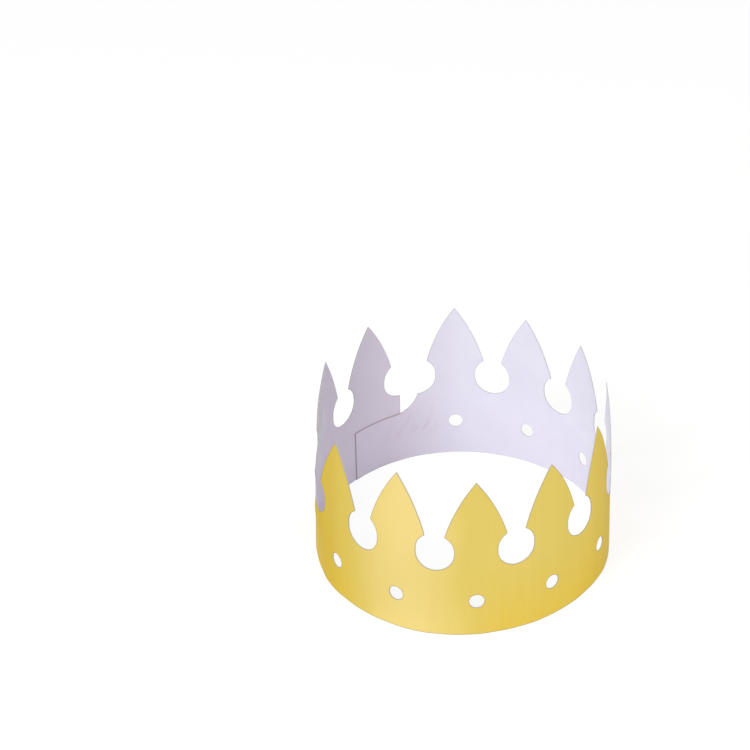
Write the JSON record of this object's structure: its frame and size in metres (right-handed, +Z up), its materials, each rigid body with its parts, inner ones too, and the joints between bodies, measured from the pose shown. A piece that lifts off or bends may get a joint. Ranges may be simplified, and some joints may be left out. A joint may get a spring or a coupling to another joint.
{
  "type": "paper crown",
  "caption": "Gold foil card crown: an upright oval ring of pointed peaks with keyhole notches between them and a punched hole under each, closed by a glued tab.",
  "frame": {"origin": "middle of the ring, in the plane of the standing edge", "axes": "+Z up towards the tips, -Y the front of the crown, +X to the right seen from the front; the glued lap is at the back, on the -X side"},
  "size_m": [0.1726, 0.1884, 0.1021],
  "materials": {
    "foil_card": "satin gold foil on the outside, uncoated white paper on the inside"
  },
  "bodies": {
    "root": {"crown_strip": "foil_card"}
  },
  "joints": []
}
